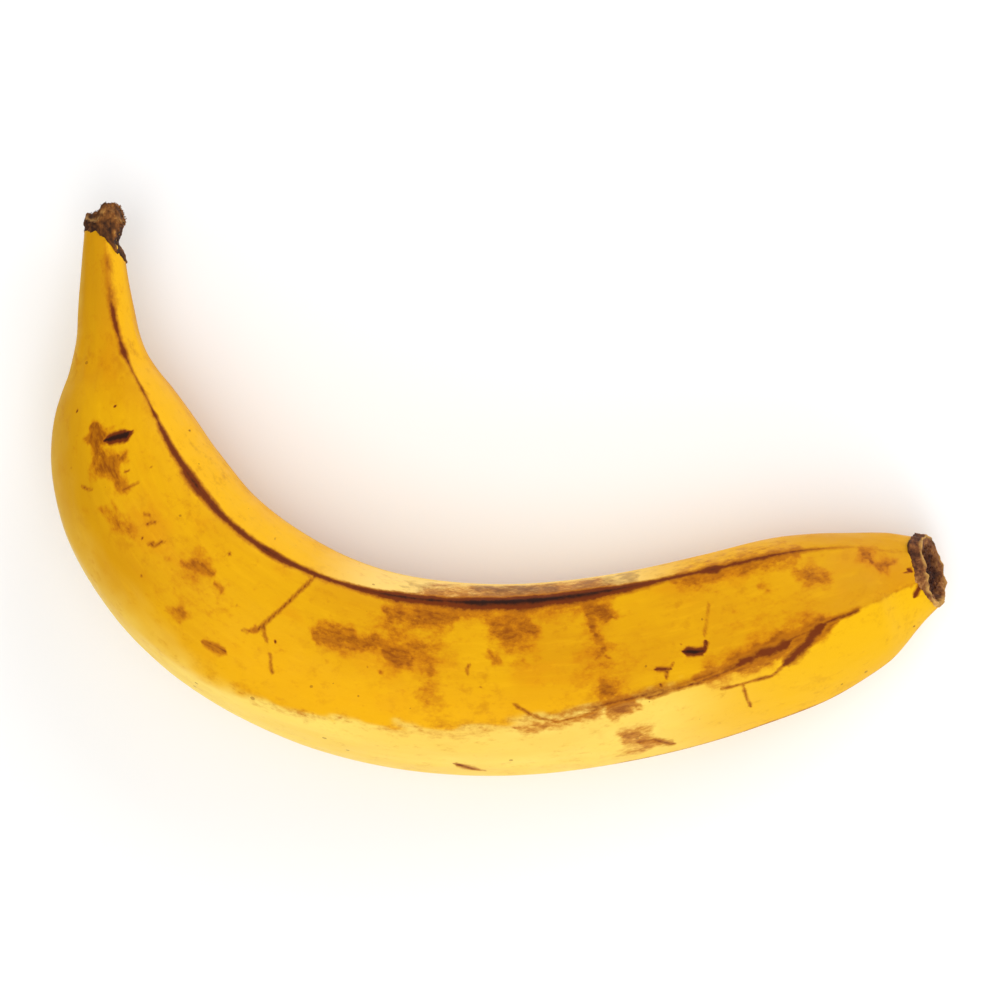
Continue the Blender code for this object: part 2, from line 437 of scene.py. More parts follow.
# Each ridge's line: (place along, darkness, half width in mm)
ridgeLines = [
    [(4, 0.15, 0.6), (8, 0.4, 0.9), (18, 0.42, 0.9), (20.5, 0.78, 0.6), (25, 0.74, 0.5), (28, 0.5, 0.45),
     (31, 0.86, 0.75), (34, 0.55, 0.5), (38, 0.5, 0.4), (46, 0.55, 0.4), (48, 0.78, 0.6),
     (49.5, 0.6, 0.5), (52, 0.8, 0.65), (60, 0.84, 0.75),
     (66, 0.86, 1), (76, 0.84, 0.9), (84, 0.84, 0.75), (90, 0.82, 0.7), (96, 0.8, 0.65), (102, 0.84, 0.8),
     (106, 0.8, 0.6), (114, 0.8, 0.55), (122, 0.82, 0.65), (132, 0.88, 0.75), (139, 0.95, 1), (150, 1, 1.3),
     (165, 1.05, 1.4), (180, 1.05, 1.4), (192, 1, 1.3), (200, 0.92, 1), (212, 0.72, 0.7), (220, 0.62, 0.6),
     (223, 0.8, 0.9), (225.5, 0.86, 1.1), (227, 0.7, 0.7), (233, 0.66, 0.9), (240, 0.64, 0.8),
     (247, 0.58, 0.6),
     (254, 0.42, 0.5), (262, 0.25, 0.5), (270, 0.2, 0.5)],
    [(4, 0.1, 0.5), (95, 0.1, 0.5), (110, 0.1, 0.6), (120, 0.13, 0.6), (140, 0.15, 0.6), (171, 0.2, 0.6),
     (185, 0.3, 0.7), (192, 0.5, 0.9), (200, 0.52, 0.9), (208, 0.38, 0.8), (214, 0.46, 0.8),
     (225, 0.42, 0.7), (240, 0.44, 0.6), (250, 0.5, 0.5), (258, 0.2, 0.5)],
    [(4, 0.2, 0.5), (70, 0.45, 0.5), (120, 0.62, 0.6), (150, 0.5, 0.5), (190, 0.62, 0.6), (205, 0.8, 0.8),
     (235, 0.8, 0.8), (250, 0.6, 0.5), (262, 0.2, 0.5)],
    [(4, 0.3, 0.5), (60, 0.6, 0.5), (95, 0.85, 0.8), (140, 0.6, 0.5), (200, 0.8, 0.7), (250, 0.4, 0.5),
     (262, 0.2, 0.5)],
    [(4, 0.3, 0.5), (40, 0.7, 0.6), (80, 0.5, 0.5), (120, 0.8, 0.7), (165, 0.6, 0.5), (215, 0.8, 0.8),
     (262, 0.2, 0.5)],
]

# Scars, cracks and bruises on the side that looks up: (half width, strength, [(along, in), ...])
darkStrokes = [
    (1.05, 1.25, [(51.1, 3.7), (51.4, 1.3), (51.5, -0.8), (51.4, -2.6)]),
    (0.42, 0.51, [(59.9, 1), (59.6, -0.6)]),
    (0.42, 0.51, [(63.3, 3), (63.6, -2)]),
    (0.42, 0.49, [(59.4, -11.2), (60.4, -10), (61, -9)]),
    (0.42, 0.49, [(70.6, -0.3), (71.9, 1.3)]),
    (0.42, 0.51, [(73.1, -0.8), (73.9, 2.2)]),
    (0.45, 0.56, [(78.1, -2.7), (78.9, 1.1)]),
    (0.42, 0.49, [(77.2, -3.4), (77.6, -1.2)]),
    (0.45, 0.53, [(92, 9), (92.6, 10.9)]),
    (0.42, 0.51, [(99.9, -10.3), (102.6, -9), (105.9, -8.8)]),
    (0.55, 0.56, [(115.6, 16.9), (113.6, 12.4), (111.9, 7.2), (110.1, 2.1), (109.2, -0.8)]),
    (0.42, 0.52, [(109.2, -0.8), (107.4, -2), (105.8, -2.6)]),
    (0.42, 0.49, [(110.3, 0.6), (111.2, -1), (112.6, -1.9)]),
    (0.42, 0.49, [(114.2, -3.8), (115.2, -5.6), (116.9, -8.4)]),
    (0.42, 0.5, [(171.2, -4), (176, -7.3), (181, -8.9), (186.1, -8.3), (190.6, -6.9)]),
    (0.42, 0.48, [(160.9, 5.6), (160.2, 4), (160.6, 2.6)]),
    (0.5, 0.62, [(158.2, -19.6), (161.6, -20.6), (165, -21.6)]),
    (0.5, 0.64, [(204.5, -0.5), (208.4, -1.3)]),
    (0.45, 0.59, [(207.4, -1.2), (206.6, -3.1)]),
    (0.5, 0.59, [(205.3, -3.8), (204.9, -4.8)]),
    (0.42, 0.49, [(202.2, -6.2), (201.6, -7.2)]),
    (0.42, 0.49, [(209.4, 0.2), (208.2, -1)]),
    (0.8, 1.1, [(212.2, 1.9), (214.5, 1.3), (217.2, 1)]),
    (0.5, 0.85, [(217, 1), (218, 3.4)]),
    (0.42, 0.49, [(212.2, 4), (211.8, 3.3)]),
    (0.5, 0.38, [(217.8, 4.2), (219.7, 8.1), (221.2, 11.5)]),
    (0.7, 0.56, [(201.3, -6.7), (208, -5.9), (213.4, -6), (219, -5.4), (224.8, -4.4)]),
    (1.5, 0.68, [(223.5, -4.4), (229, -3.6), (237, -3)]),
    (0.6, 0.6, [(247.5, -1.4), (254.9, -1)]),
    (1.3, 0.72, [(245.6, -1.6), (242.8, -2.8), (239.3, -5), (233.6, -8)]),
    (0.42, 0.52, [(234.4, -7.7), (230.3, -9.5), (224.3, -9.2), (218.1, -9)]),
    (0.42, 0.52, [(223.5, -9.2), (223.7, -12.4), (224.3, -15.7)]),
    (0.7, 0.52, [(197.5, -17.4), (201.5, -17.8), (206, -20)]),
    (0.6, 0.85, [(272.2, -0.5), (270.8, -1.9), (268.9, -3.4)]),
    (0.7, 0.7, [(269.8, 3.4), (270.6, 2.3)]),
    (0.5, 0.53, [(272.9, -5.5), (274, -8.1)]),
]

# Dots of dried sap and small pricks: (along, in)
darkDots = [(43.9, 1.2), (43.2, -8.2), (48.9, -8.8), (55.4, -12.2), (61.1, 6.2), (99.1, 19.1),
            (53.9, 16.3), (75.3, -3.4), (114, -0.9), (81.9, -8.8), (101.9, 1.4), (82.2, -1.6), (136.4, 1.5),
            (163.4, -0.1), (269, 2.9), (267, -10.4)]

# Bruises that rust the skin, written the same way
rustPatches = [
    (7, 0.38, [(138, 11.5), (150, 8)]),
    (6, 0.42, [(168, 13), (174, 9)]),
    (6, 0.3, [(150, 2), (152, -4)]),
    (5, 0.36, [(192, 10), (194, -6)]),
    (7, 0.16, [(84, 0), (98, -2)]),
    (1.9, 0.95, [(47.6, -4.6), (50.6, -4.2), (53, -5)]),
    (1.2, 0.8, [(49.1, -2.4), (50.4, -3.4)]),
    (2.4, 0.78, [(53.6, -4.8), (57, -3.4), (60.2, -2.8)]),
    (1.6, 0.62, [(55.6, 1.6), (57.4, 0)]),
    (1.4, 0.52, [(61, -3.4), (64, -0.6)]),
    (1.6, 0.46, [(65.7, -9), (69, -6.6), (73, -3.7)]),
    (2, 0.64, [(85.4, 0.8), (88.2, 2.2), (92.6, 3.9)]),
    (1.4, 0.66, [(95.6, 2.6), (96.6, 3.2)]),
    (1, 0.5, [(82.2, -1.6), (82.8, -1.2)]),
    (2.2, 0.46, [(91, -9.3), (94.9, -7)]),
    (0.7, 0.62, [(100, -10.2), (106, -8.9)]),
    (1.3, 0.78, [(109.4, -0.4), (107.6, -2)]),
    (2.2, 0.64, [(137.5, 14.4), (147, 15), (157, 15.2)]),
    (1.2, 0.82, [(145.5, 15.2), (153.5, 16.4)]),
    (1.3, 0.68, [(120.7, 5.6), (127.7, 6.6), (136.2, 7.2), (146, 6.2)]),
    (1.4, 0.64, [(122, 4), (128, 4.6), (134, 5.3)]),
    (1.8, 0.8, [(139.6, 5.6), (146.4, 4)]),
    (4.4, 0.46, [(141, 9.6), (150, 6.4), (152, 1.2)]),
    (0.9, 0.6, [(139.6, 1.1), (140.2, 0.9)]),
    (3.6, 0.68, [(166.4, 14), (172, 12.8), (177.6, 12.6)]),
    (1.6, 0.9, [(169.6, 12.6), (171.6, 12.2)]),
    (1.1, 0.85, [(176.4, 12.8), (178, 12.2)]),
    (2.4, 0.54, [(165.6, 7.6), (168.4, 6)]),
    (2, 0.46, [(172.4, 5.2), (174, 5)]),
    (2, 0.68, [(190.8, 17.4), (193, 15.2), (197.8, 13.6)]),
    (1.8, 0.8, [(191.4, 14.2), (191.9, 11.2)]),
    (1.3, 0.6, [(192.2, 10), (193.6, 5.4)]),
    (1.2, 0.6, [(193.8, 4.4), (194.6, 3.6)]),
    (3, 0.72, [(192.4, -1.4), (195.2, -5.8)]),
    (1.7, 0.9, [(191.6, -6), (194.6, -7.2), (199, -8.2)]),
    (1, 0.2, [(109.5, -14.1), (119, -14.8), (131.7, -13.1), (140.8, -12.2), (153.7, -11), (171, -9.6)]),
    (0.8, 0.5, [(171, -9.6), (181, -9.4), (191, -8)]),
    (2.6, 0.52, [(194.6, -14), (197, -16.4), (202, -18.6)]),
    (2.2, 0.6, [(214, -5.4), (226, -3.4), (238, -1.8), (247, -0.6)]),
    (1.7, 0.95, [(221, -4.8), (230, -3.4), (238, -2.6), (248, -1.2)]),
    (6, 0.14, [(226, 5), (244, 3)]),
    (2.2, 0.66, [(260.4, 12), (262, 8)]),
    (1.5, 0.62, [(262.5, 6.6), (267.5, 6.2)]),
    (3.4, 0.6, [(244, 11), (249, 8.4)]),
    (1.6, 0.5, [(234.6, 11.2), (235.6, 11)]),
    (2.6, 0.66, [(146, 18.8), (160, 19.6), (180, 20), (198, 19.4)]),
    (1.8, 0.56, [(214, 18), (232, 17.4), (246, 16)]),
]

# Grey-brown stain on the hollow side, just under the ridge
stainPatches = [
    (1.5, 0.5, [(140, 21.4), (156, 22.4)]),
    (2.2, 0.8, [(160, 22.3), (171.5, 22.6), (184, 21.6)]),
    (1.6, 1, [(181.6, 20.2), (185.4, 19.8)]),
    (2.2, 0.62, [(188, 21.6), (206, 21.2)]),
]


def ridgeField(straight, turn):
    # the dark line along each ridge, measured round the skin from the ridge
    radius = np.hypot(straight[:, 1], straight[:, 2])
    field = np.zeros(len(straight))
    for i, line in enumerate(ridgeLines):
        nearby = (i - 1, i, i + 1)
        angles = [smoothLine(fruit["ridges"][j % 5], straight[:, 0]) + 360 * (j // 5) for j in nearby]
        away = (turn * 5 - i + 2.5) % 5 - 2.5
        face = np.where(away > 0, angles[2] - angles[1], angles[1] - angles[0])
        gap = np.abs(away) * np.radians(face) * radius
        along, darkness, halfWidth = np.array(line, float).T
        wave = 0.22 * lumps(straight, np.array([7, 4, 4]), 20 + i)
        width = peel["ridgeLineSpread"] * np.interp(straight[:, 0], along, halfWidth) * (1 + wave)
        strength = np.interp(straight[:, 0], along, darkness) * (1 + 0.4 * wave)
        field = np.maximum(field, strength * np.clip(1 - gap / (2 * width), 0, 1))
    return field


def tearDip(straight):
    # the hollow-side dip of the stub
    depth = peel["tearDepth"] * np.exp(-(((straight[:, 0] - peel["tearAt"]) / peel["tearLength"]) ** 2))
    radius = np.maximum(np.hypot(straight[:, 1], straight[:, 2]), 1e-6)
    straight[:, 1] -= depth * np.maximum(straight[:, 1] / radius, 0) ** 2


def pushOut(straight, distance):
    radius = np.hypot(straight[:, 1], straight[:, 2])
    straight[:, 1:] *= (1 + distance / np.maximum(radius, 0.5))[:, None]


def makePeel(tree):
    places = [np.linspace(low, high, count, high == peel["end"]) for low, high, count in peel["runs"]]
    rings = [(place, 1) for place in np.concatenate(places)]
    # the blossom end turns in behind the scar's crater
    rings += [(peel["end"] - 0.2, 0.93), (peel["end"] - 2.8, 0.86), (peel["end"] - 3, 0.4)]
    obj = growLoft("plantainPeel", tree, rings, peel["columns"], peelMaterial())
    straight = readPoints(obj.data, "straight")
    turn = np.zeros(len(straight), np.float32)
    obj.data.attributes["turn"].data.foreach_get("value", turn)
    dots = [(0.5, 0.9, [(a - 0.1, i), (a + 0.1, i)]) for a, i in darkDots]
    dark = np.maximum(ridgeField(straight, turn), strokeField(straight, darkStrokes + dots, 0.3, 60))
    patches = [(peel["rustSpread"] * width, *rest) for width, *rest in rustPatches]
    rust = peel["rustStrength"] * strokeField(straight, patches, 0.6, 64)
    stain = strokeField(straight, stainPatches, 0.9, 68)

    # which face between two ridges a point is on: the lower one gets pale painted light, as if lit from
    # below, and the hollow one bright painted light
    face = turn * 5
    wobble = 0.05 * lumps(straight, np.array([7, 3, 3]), 72)
    wobble += 0.03 * lumps(straight, np.array([2.5, 1.5, 1.5]), 73)
    soft = 0.05 + 0.5 * (1 - ease(88, 122, straight[:, 0]))
    litLowerFace = ease(1 - 0.5 * soft, 1 + 0.4 * soft, face + wobble) * (1 - ease(2.6, 3.2, face))
    hollow = ease(4.1, 4.5, face) + 1 - ease(-0.02, 0.03, face)
    fields = {"dark": dark, "rust": rust, "stain": stain, "litLowerFace": litLowerFace, "hollow": hollow}
    for name, values in fields.items():
        storeField(obj.data, name, values)
    keepOnly(obj.data, ("straight", *fields))
    tearDip(straight)
    neck = 1 - ease(26, 46, straight[:, 0])
    middle = (1 - neck) * (1 - ease(262, 272, straight[:, 0]))
    swell = peel["lumpHeight"] * lumps(straight, peel["lumpSize"], 3) * middle
    flutes = lumps(straight, np.array([60, 2.6, 2.6]), 4)
    flutes += 0.5 * lumps(straight, np.array([25, 1.4, 1.4]), 5)
    wrinkles = peel["neckWrinkle"] * neck * lumps(straight, np.array([14, 2.2, 2.2]), 6)
    sink = peel["markSink"] * ease(0.3, 0.9, dark) + peel["rustSink"] * rust
    pushOut(straight, swell + peel["fluteHeight"] * flutes + wrinkles - sink)
    layDown(obj, straight)
    print("peel made:", len(obj.data.polygons), "faces")
    return obj


def keepOnly(mesh, names):
    for attribute in list(mesh.attributes):
        if attribute.name not in names and not attribute.is_internal and not attribute.is_required:
            mesh.attributes.remove(attribute)


stub = {
    "columns": 150,
    "ringStep": 0.14,
    "end": 11.5,
    # how far along the dry tissue reaches, from the outer side to the hollow: (in, along)
    "edge": [(-4.5, 1.3), (-1.4, 1.6), (0.8, 2.5), (2.4, 4.6), (3.8, 6.6), (5, 8.4)],
    "pleatHeight": 0.36,
    "pleatSize": 1.4,
    "crumpleHeight": 0.2,
    "crumpleSize": 0.75,
    "skin": 0.22,
    # how far parts of the torn top lie below its knob
    "topDrop": 0.5,
    "outerDrop": 2,
    "outerLobe": 1,
    "hollowDrop": 2.2,
    "fibres": {"Density": 1.1e6, "Width": 0.11 * mm, "Length": 0.62 * mm, "Stray": 0.8, "Seed": 3},
}


def makeStub(tree):
    shares = (0.03, 0.1, 0.18, 0.26, 0.34, 0.42, 0.5, 0.58, 0.66, 0.74, 0.81, 0.88, 0.94)
    top = [(fruit["stubEnd"], share) for share in shares]
    wall = [(a, 1) for a in np.arange(fruit["stubEnd"] + 0.25, stub["end"], stub["ringStep"])]
    obj = growLoft("stalkStub", tree, top + wall + [(stub["end"], 0.8)], stub["columns"], stalkMaterial())
    straight = readPoints(obj.data, "straight")
    keepOnly(obj.data, ("straight",))
    along, inward, upward = straight.T.copy()
    onDisc = np.hypot(inward, upward) / (smoothLine(fruit["depth"], along) / 2)
    edge = np.interp(inward, *np.array(stub["edge"]).T)
    edge += 0.5 * lumps(straight, np.array([4, 1.4, 1.4]), 31) + 0.25 * lumps(straight, 0.6, 32)
    cover = 1 - ease(-0.45, 0.45, along - edge)
    tearDip(straight)
    stretched = straight / [4, 1, 1]
    pleats = lumps(stretched, stub["pleatSize"], 33)
    crumple = lumps(straight, stub["crumpleSize"], 34) + 0.5 * lumps(straight, 0.38, 35)
    lip = np.exp(-(((along + 4.2) / 1.5) ** 2)) * ease(-2, 4, inward)
    relief = stub["pleatHeight"] * pleats + stub["crumpleHeight"] * crumple
    height = cover * (stub["skin"] + relief + 0.5 * lip)
    pushOut(straight, (height - 0.45 * (1 - cover)) * ease(0, 0.5, onDisc))
    # the torn top: a small lobe and a low step on the outer side, then a knob that falls to the hollow side
    lowered = stub["topDrop"] + stub["outerDrop"] * (1 - ease(-1.3, 0.2, inward))
    lowered -= stub["outerLobe"] * ease(-2.4, -4, inward)
    lowered += stub["hollowDrop"] * ease(2.2, 4.6, inward) + 0.4 * lumps(straight, 1.9, 36)
    lowered += 0.4 * crumple + 0.7 * np.exp(-((inward - 1.4) ** 2 + (upward - 0.6) ** 2) / 1.6)
    straight[:, 0] += np.maximum(lowered, -0.3) * (1 - ease(-5, 0.4, along))
    # painted shade in the folds and painted highlight on the crests, following the pleats and crumples of
    # the relief, and darker towards the peel
    shade = 0.5 + 0.42 * pleats + 0.3 * crumple - 0.25 * ease(-3, 0.5, along)
    storeField(obj.data, "reliefShade", np.clip(shade, 0, 1))
    storeField(obj.data, "tornEnd", 1 - ease(0.55, 0.98, onDisc))
    pale = 0.8 * np.exp(-(((along + 3.6) / 0.9) ** 2)) * ease(-0.3, 0.4, lumps(straight, 1.3, 37))
    storeField(obj.data, "pale", pale)
    storeField(obj.data, "bits", (1 - ease(-5.4, -4.2, along)) * ease(0.2, 0.9, onDisc))
    layDown(obj, straight)
    addBits(obj, stub["fibres"])
    print("stalk stub made:", len(obj.data.polygons), "faces")
    return obj


scar = {
    "columns": 150,
    "start": 272.6,
    # how wide the cork's collar is, from the outer side to the hollow: (in, width)
    "collar": [(-8, 0.5), (-6, 0.6), (-3, 1.3), (0, 2.1), (5, 2.5), (8, 3)],
    "bumpHeight": 0.26,
    "bumpSize": 1.4,
    "lobeHeight": 0.75,  # the collar's lobes on the hollow side
    "grainHeight": 0.13,
    "craterDepth": 1.9,
    "craterLumps": 1.1,
    "nubHeight": 1.1,  # the stub of the flower's stalk in the middle
    "rimWave": 0.45,
    "skin": 0.32,
    "crumbs": {"Density": 0.9e6, "Width": 0.3 * mm, "Length": 0.36 * mm, "Stray": 1.5, "Seed": 5},
}


def makeScar(tree):
    end = fruit["scarEnd"]
    wall = [(scar["start"], 0.9), (scar["start"] + 0.3, 0.97)]
    wall += [(a, 1) for a in np.arange(scar["start"] + 0.6, end - 0.5, 0.15)]
    lipShares = (1, 0.985, 0.96, 0.93)
    lipRings = [(end - 0.35 + 0.3 * math.sin(i / 3 * math.pi), share) for i, share in enumerate(lipShares)]
    crater = [(end - 0.4 - scar["craterDepth"] * (1 - ease(0.55, 0.93, share)), share)
              for share in np.linspace(0.91, 0.02, 40)]
    rings = wall + lipRings + crater
    obj = growLoft("blossomScar", tree, rings, scar["columns"], scarMaterial())
    straight = readPoints(obj.data, "straight")
    keepOnly(obj.data, ("straight",))
    ring = np.repeat(np.arange(len(rings)), scar["columns"])
    inCrater = ease(len(wall) + 1, len(wall) + 9, ring)
    inward, upward = straight.T[1:].copy()
    place = np.repeat([place for place, share in rings], scar["columns"])
    collar = np.interp(inward, *np.array(scar["collar"]).T)
    collar += 0.3 * lumps(straight, np.array([3, 1.8, 1.8]), 41) + 0.2 * lumps(straight, 0.7, 42)
    cover = np.maximum(ease(-0.4, 0.4, place - end + 0.4 + collar), inCrater)
    bumps = lumps(straight, np.array([2.6, scar["bumpSize"], scar["bumpSize"]]), 43)
    grain = lumps(straight, 0.6, 44) + 0.5 * lumps(straight, 0.33, 45)
    relief = scar["skin"] + scar["bumpHeight"] * bumps + scar["grainHeight"] * grain
    height = cover * relief - 0.4 * (1 - cover)
    lobes = 0.6 + 0.8 * lumps(straight, np.array([4, 2.6, 2.6]), 49)
    lobes *= scar["lobeHeight"] * cover * ease(3, 7, inward)
    pushOut(straight, (height + lobes) * (1 - inCrater))
    nub = scar["nubHeight"] * np.exp(-((inward + 0.5) ** 2 + (upward - 0.6) ** 2) / 1.6)
    rim = ease(end - 2.4, end - 0.4, place) * (1 - inCrater)
    rim *= scar["rimWave"] * (lumps(straight, 2.6, 47) + lumps(straight, 1.1, 50))
    floor = scar["craterLumps"] * lumps(straight, 1.7, 46) + 0.3 * grain + nub
    straight[:, 0] += inCrater * floor + rim
    # painted shade in the dips and painted highlight on the bumps, following the bumps and grain of the
    # relief, and darker on the collar's hollow side
    shade = 0.5 + 0.4 * bumps + 0.3 * grain - 0.35 * (1 - inCrater) * ease(3, 6, inward)
    storeField(obj.data, "reliefShade", np.clip(shade, 0, 1))
    # painted shade: this darkens the middle of the crater
    storeField(obj.data, "hollow", inCrater * (1 - ease(4.5, 7, np.hypot(inward, upward))))
    pale = np.exp(-(((ring - len(wall) - 1) / 1.5) ** 2)) * ease(-0.2, 0.5, lumps(straight, 1.6, 48) + 0.5)
    storeField(obj.data, "pale", np.maximum(pale, 1 - ease(-7.4, -6.2, inward)))
    storeField(obj.data, "bits", ease(0.5, 1, inCrater))
    layDown(obj, straight)
    addBits(obj, scar["crumbs"])
    print("blossom scar made:", len(obj.data.polygons), "faces")
    return obj


def newMaterial(name):
    material = bpy.data.materials.new(name)
    material.use_nodes = True
    material.node_tree.nodes.clear()
    return material, material.node_tree


def mixColour(tree, factor, a, b, blend="MIX"):
    node = addNode(tree, "ShaderNodeMix", data_type="RGBA", blend_type=blend)
    for socket, value in zip([s for s in node.inputs if s.enabled], (factor, a, b)):
        if isinstance(value, bpy.types.NodeSocket):
            tree.links.new(value, socket)
        else:
            socket.default_value = linear(value) if isinstance(value, str) else value
    return next(s for s in node.outputs if s.enabled)


def peelMaterial():
    # ripe plantain peel: a thin waxy rind, so it is satin with soft wide highlights, and its colour is a
    # golden yellow that turns amber where it is handled and brown-black along ridges and scars
    material, tree = newMaterial("waxyPlantainPeel")

    def read(name):
        return addNode(tree, "ShaderNodeAttribute", attribute_name=name).outputs

    def calc(operation, *values):
        return addNode(tree, "ShaderNodeMath", dict(enumerate(values)), operation=operation).outputs[0]

    def ramp(value, low, high, toLow=0.0, toHigh=1.0):
        ends = {"Value": value, "From Min": low, "From Max": high, "To Min": toLow, "To Max": toHigh}
        return addNode(tree, "ShaderNodeMapRange", ends, interpolation_type="SMOOTHSTEP").outputs[0]

    place = read("straight")["Vector"]
    along, inward = addNode(tree, "ShaderNodeSeparateXYZ", {0: place}).outputs[:2]

    def grain(size, detail=3.0, rough=0.55, offset=0.0, stretch=1.0):
        # noise with features of about size mm, stretched lengthwise
        spot = addNode(tree, "ShaderNodeMapping", {"Vector": place, "Location": (offset, offset, offset),
                       "Scale": (1 / stretch, 1, 1)}).outputs[0]
        return addNode(tree, "ShaderNodeTexNoise", {"Vector": spot, "Scale": 1 / size, "Detail": detail,
                       "Roughness": rough}).outputs["Fac"]

    # ground colour: broad cloudy patches, then lengthwise streaks a millimetre or two wide
    broad = ramp(grain(34, 3, offset=11), 0.38, 0.62)
    colour = mixColour(tree, broad, "#D69600", "#E0A400")
    amber = ramp(grain(13, 4, offset=31, stretch=1.8), 0.5, 0.68)
    colour = mixColour(tree, calc("MULTIPLY", amber, 0.5), colour, "#D58600")
    streaks = grain(1.6, 4, offset=5, stretch=7)
    colour = mixColour(tree, ramp(streaks, 0.48, 0.75, 0, 0.22), colour, "#C98402")
    colour = mixColour(tree, ramp(streaks, 0.46, 0.3, 0, 0.22), colour, "#F2B60A")
    # the neck and the outer shoulder are mustard; the hollow face is brightened with painted light
    hollow = calc("MULTIPLY", read("hollow")["Fac"], ramp(along, 256, 228))
    shoulder = calc("MULTIPLY", ramp(along, 100, 55), ramp(inward, -2, -12))
    tip = calc("MULTIPLY", ramp(along, 236, 262, 0, 0.5), ramp(inward, -5, 3))
    mustard = calc("MAXIMUM", calc("MAXIMUM", ramp(along, 44, 14), calc("MULTIPLY", shoulder, 0.8)), tip)
    colour = mixColour(tree, calc("MULTIPLY", mustard, 0.75), colour, "#C98E04")
    colour = mixColour(tree, calc("MULTIPLY", hollow, 0.7), colour, "#F2B70E")
    # painted highlight: a pale band over the middle stretch of the hollow face
    crestHighlight = calc("MULTIPLY", hollow, calc("MULTIPLY", ramp(along, 108, 138), ramp(along, 225, 195)))
    colour = mixColour(tree, calc("MULTIPLY", crestHighlight, 0.7), colour, "#FBDC84")
    # the lower face is painted a paler lemon as painted light from below, most of all under the middle
    litLowerFace = read("litLowerFace")["Fac"]
    middle = calc("MULTIPLY", ramp(along, 42, 100, 0.7, 1), ramp(along, 236, 200, 0.12, 1))
    cloudy = ramp(grain(18, 3, offset=57, stretch=2.5), 0.35, 0.65, 0.75, 1)
    pale = calc("MULTIPLY", calc("MULTIPLY", litLowerFace, middle), cloudy)
    colour = mixColour(tree, calc("MULTIPLY", pale, 0.85), colour, "#F5D766")
    # painted light: towards the tip the lit lower face is painted golden instead of pale
    golden = calc("MULTIPLY", litLowerFace, ramp(along, 196, 236))
    colour = mixColour(tree, calc("MULTIPLY", golden, 0.75), colour, "#EEB800")
    # the middle of the face that looks up brightens towards the lower ridge
    sunny = calc("MULTIPLY", ramp(along, 84, 120), ramp(along, 208, 182))
    sunny = calc("MULTIPLY", ramp(inward, 8, -9), sunny)
    sunny = calc("MULTIPLY", sunny, calc("SUBTRACT", 1.0, litLowerFace))
    colour = mixColour(tree, calc("MULTIPLY", sunny, 0.65), colour, "#F0B000")
    # mottling: small amber cells where the skin is bruised a little all over
    mottle = ramp(grain(3.4, 6, 0.66, offset=71, stretch=1.2), 0.5, 0.7)
    where = calc("MULTIPLY", ramp(grain(22, 2, offset=47), 0.42, 0.62), ramp(pale, 0.2, 0.9, 1, 0.25))
    colour = mixColour(tree, calc("MULTIPLY", calc("MULTIPLY", mottle, where), 0.5), colour, "#BE7400")

    # bruises: rusty where shallow, brown where deep, broken up by grain of about 1 to 3 mm
    breakUp = calc("MULTIPLY_ADD", grain(2.6, 5, 0.62, offset=3, stretch=1.5), 1.0, -0.5)
    fine = calc("MULTIPLY_ADD", grain(0.8, 4, 0.6, offset=9, stretch=1.4), 0.6, -0.3)
    broken = calc("ADD", calc("MULTIPLY", breakUp, 1.1), fine)
    rustIn = calc("ADD", read("rust")["Fac"], broken)
    colour = mixColour(tree, ramp(rustIn, 0.03, 0.62, 0, 0.8), colour, "#C27000")
    hatch = ramp(grain(0.9, 4, 0.6, offset=83, stretch=3), 0.38, 0.62, 0.5, 1)
    colour = mixColour(tree, calc("MULTIPLY", ramp(rustIn, 0.36, 0.86, 0, 0.85), hatch), colour, "#843F02")
    stainIn = calc("ADD", read("stain")["Fac"], calc("MULTIPLY", broken, 0.5))
    colour = mixColour(tree, ramp(stainIn, 0.2, 0.75, 0, 0.75), colour, "#9A6226")
    colour = mixColour(tree, ramp(stainIn, 0.55, 1.0, 0, 0.75), colour, "#563010")

    # freckles: sparse brown dots of half a millimetre to one millimetre
    cells = addNode(tree, "ShaderNodeTexVoronoi", {"Vector": place, "Scale": 1 / 5.5, "Randomness": 1.0})
    chance = addNode(tree, "ShaderNodeSeparateXYZ", {0: cells.outputs["Color"]}).outputs
    dotSize = ramp(chance[0], 0.5, 1.0, 0.02, 0.09)
    dots = calc("LESS_THAN", calc("ADD", cells.outputs["Distance"], calc("MULTIPLY", fine, 0.12)), dotSize)
    colour = mixColour(tree, calc("MULTIPLY", dots, 0.55), colour, "#8A4A08")

    # scars and ridge lines: an orange-brown fringe, chestnut, and nearly black only where deepest
    nibbled = calc("ADD", calc("MULTIPLY", breakUp, 0.45), calc("MULTIPLY", fine, 0.5))
    darkIn = calc("ADD", read("dark")["Fac"], nibbled)
    colour = mixColour(tree, ramp(darkIn, 0.08, 0.4, 0, 0.85), colour, "#B46A02")
    colour = mixColour(tree, ramp(darkIn, 0.32, 0.62, 0, 1), colour, "#702F08")
    colour = mixColour(tree, ramp(darkIn, 0.68, 1.08, 0, 1), colour, "#2C130A")

    rough = calc("ADD", ramp(grain(5, 3, offset=21), 0.3, 0.7, 0.42, 0.54), ramp(darkIn, 0.3, 0.6, 0, 0.18))
    pores = calc("MULTIPLY", grain(0.45, 3, 0.6, offset=13), 0.25)
    height = calc("ADD", calc("MULTIPLY", streaks, 0.3), pores)
    height = calc("ADD", height, ramp(darkIn, 0.3, 0.7, 0, -0.5))
    bump = addNode(tree, "ShaderNodeBump", {"Strength": 0.5, "Distance": 0.25 * mm, "Height": height})
    skin = addNode(tree, "ShaderNodeBsdfPrincipled", {"Base Color": colour, "Roughness": rough,
                   "Normal": bump.outputs[0], "IOR": 1.42, "Specular IOR Level": 0.12})
    addNode(tree, "ShaderNodeOutputMaterial", {"Surface": skin.outputs[0]})
    return material


